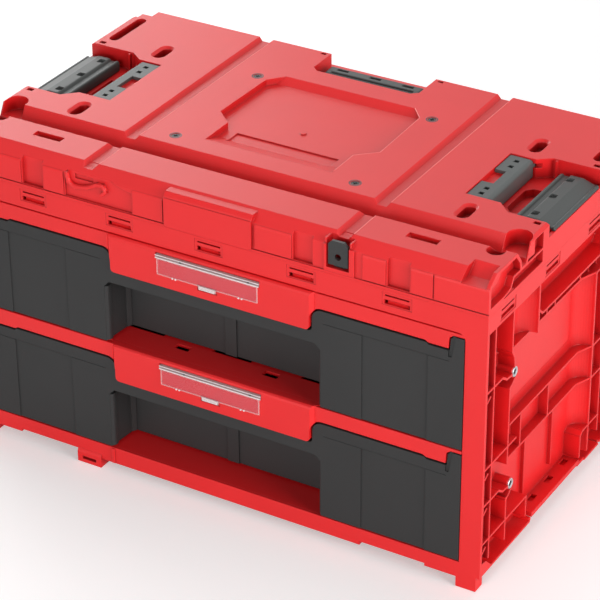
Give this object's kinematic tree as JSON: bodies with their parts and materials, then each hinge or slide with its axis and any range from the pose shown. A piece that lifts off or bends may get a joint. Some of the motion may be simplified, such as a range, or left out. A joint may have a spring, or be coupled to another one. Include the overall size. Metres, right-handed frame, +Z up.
{
  "type": "tool box with drawers",
  "caption": "Portable stacking tool box: ribbed case, drawers on telescopic slides, label covers, sprung stacking latches, hand grips and a padlock tab.",
  "frame": {"origin": "centre of the footprint on the floor (bounding box bottom centre)", "axes": "+X to the right seen from the front, the drawers open towards -Y, +Z up"},
  "size_m": [0.585, 0.385, 0.34],
  "materials": {
    "red_plastic": "matte",
    "charcoal_plastic": "matte",
    "grey_plastic": "matte",
    "clear_plastic": "gloss",
    "zinc_steel": "satin",
    "spring_steel": "satin",
    "black_steel": "satin"
  },
  "bodies": {
    "case": {"housing": "red_plastic", "front_frame": "red_plastic", "left_side_panel": "red_plastic", "right_side_panel": "red_plastic", "rear_panel": "red_plastic", "top_cover": "red_plastic", "upper_shelf": "red_plastic", "middle_shelf": "red_plastic", "upper_label_band": "red_plastic", "lower_label_band": "red_plastic", "slide_screws": "zinc_steel", "cover_screws": "black_steel", "left_grip": "grey_plastic", "right_grip": "grey_plastic", "rear_grip": "grey_plastic", "left_latch_springs": "spring_steel", "right_latch_springs": "spring_steel", "upper_left_outer_rail": "zinc_steel", "upper_right_outer_rail": "zinc_steel", "lower_left_outer_rail": "zinc_steel", "lower_right_outer_rail": "zinc_steel"},
    "upper_drawer_body": {"upper_drawer": "charcoal_plastic", "upper_drawer_front": "charcoal_plastic", "upper_left_inner_rail": "zinc_steel", "upper_right_inner_rail": "zinc_steel"},
    "lower_drawer_body": {"lower_drawer": "charcoal_plastic", "lower_drawer_front": "charcoal_plastic", "lower_left_inner_rail": "zinc_steel", "lower_right_inner_rail": "zinc_steel"},
    "upper_middle_rails": {"upper_left_middle_rail": "zinc_steel", "upper_right_middle_rail": "zinc_steel"},
    "lower_middle_rails": {"lower_left_middle_rail": "zinc_steel", "lower_right_middle_rail": "zinc_steel"},
    "upper_flap": {"upper_label_cover": "clear_plastic"},
    "lower_flap": {"lower_label_cover": "clear_plastic"},
    "left_latch_body": {"left_latch": "grey_plastic"},
    "right_latch_body": {"right_latch": "grey_plastic"},
    "lock_body": {"lock_slider": "black_steel"}
  },
  "joints": [
    {"name": "upper_drawer_slide", "type": "slide", "parent": "case", "child": "upper_drawer_body", "axis": [0, -1, 0], "range_m": [0, 0.28]},
    {"name": "upper_rail_slide", "type": "slide", "parent": "case", "child": "upper_middle_rails", "axis": [0, -1, 0], "range_m": [0, 0.14]},
    {"name": "lower_drawer_slide", "type": "slide", "parent": "case", "child": "lower_drawer_body", "axis": [0, -1, 0], "range_m": [0, 0.28]},
    {"name": "lower_rail_slide", "type": "slide", "parent": "case", "child": "lower_middle_rails", "axis": [0, -1, 0], "range_m": [0, 0.14]},
    {"name": "upper_label_hinge", "type": "hinge", "parent": "case", "child": "upper_flap", "pos_m": [0, -0.1897, 0.2705], "axis": [-1, 0, 0], "range_deg": [0, 95]},
    {"name": "lower_label_hinge", "type": "hinge", "parent": "case", "child": "lower_flap", "pos_m": [0, -0.1897, 0.1465], "axis": [-1, 0, 0], "range_deg": [0, 95]},
    {"name": "left_latch_slide", "type": "slide", "parent": "case", "child": "left_latch_body", "axis": [-1, 0, 0], "range_m": [0, 0.006], "stiffness_N_per_m": 600, "deforming": ["left_latch_springs"]},
    {"name": "right_latch_slide", "type": "slide", "parent": "case", "child": "right_latch_body", "axis": [1, 0, 0], "range_m": [0, 0.006], "stiffness_N_per_m": 600, "deforming": ["right_latch_springs"]},
    {"name": "lock_slide", "type": "slide", "parent": "case", "child": "lock_body", "axis": [0, 0, 1], "range_m": [0, 0.016]}
  ],
  "couplings": [
    {"joint": "upper_rail_slide", "follows": "upper_drawer_slide", "ratio": 0.5},
    {"joint": "lower_rail_slide", "follows": "lower_drawer_slide", "ratio": 0.5}
  ]
}
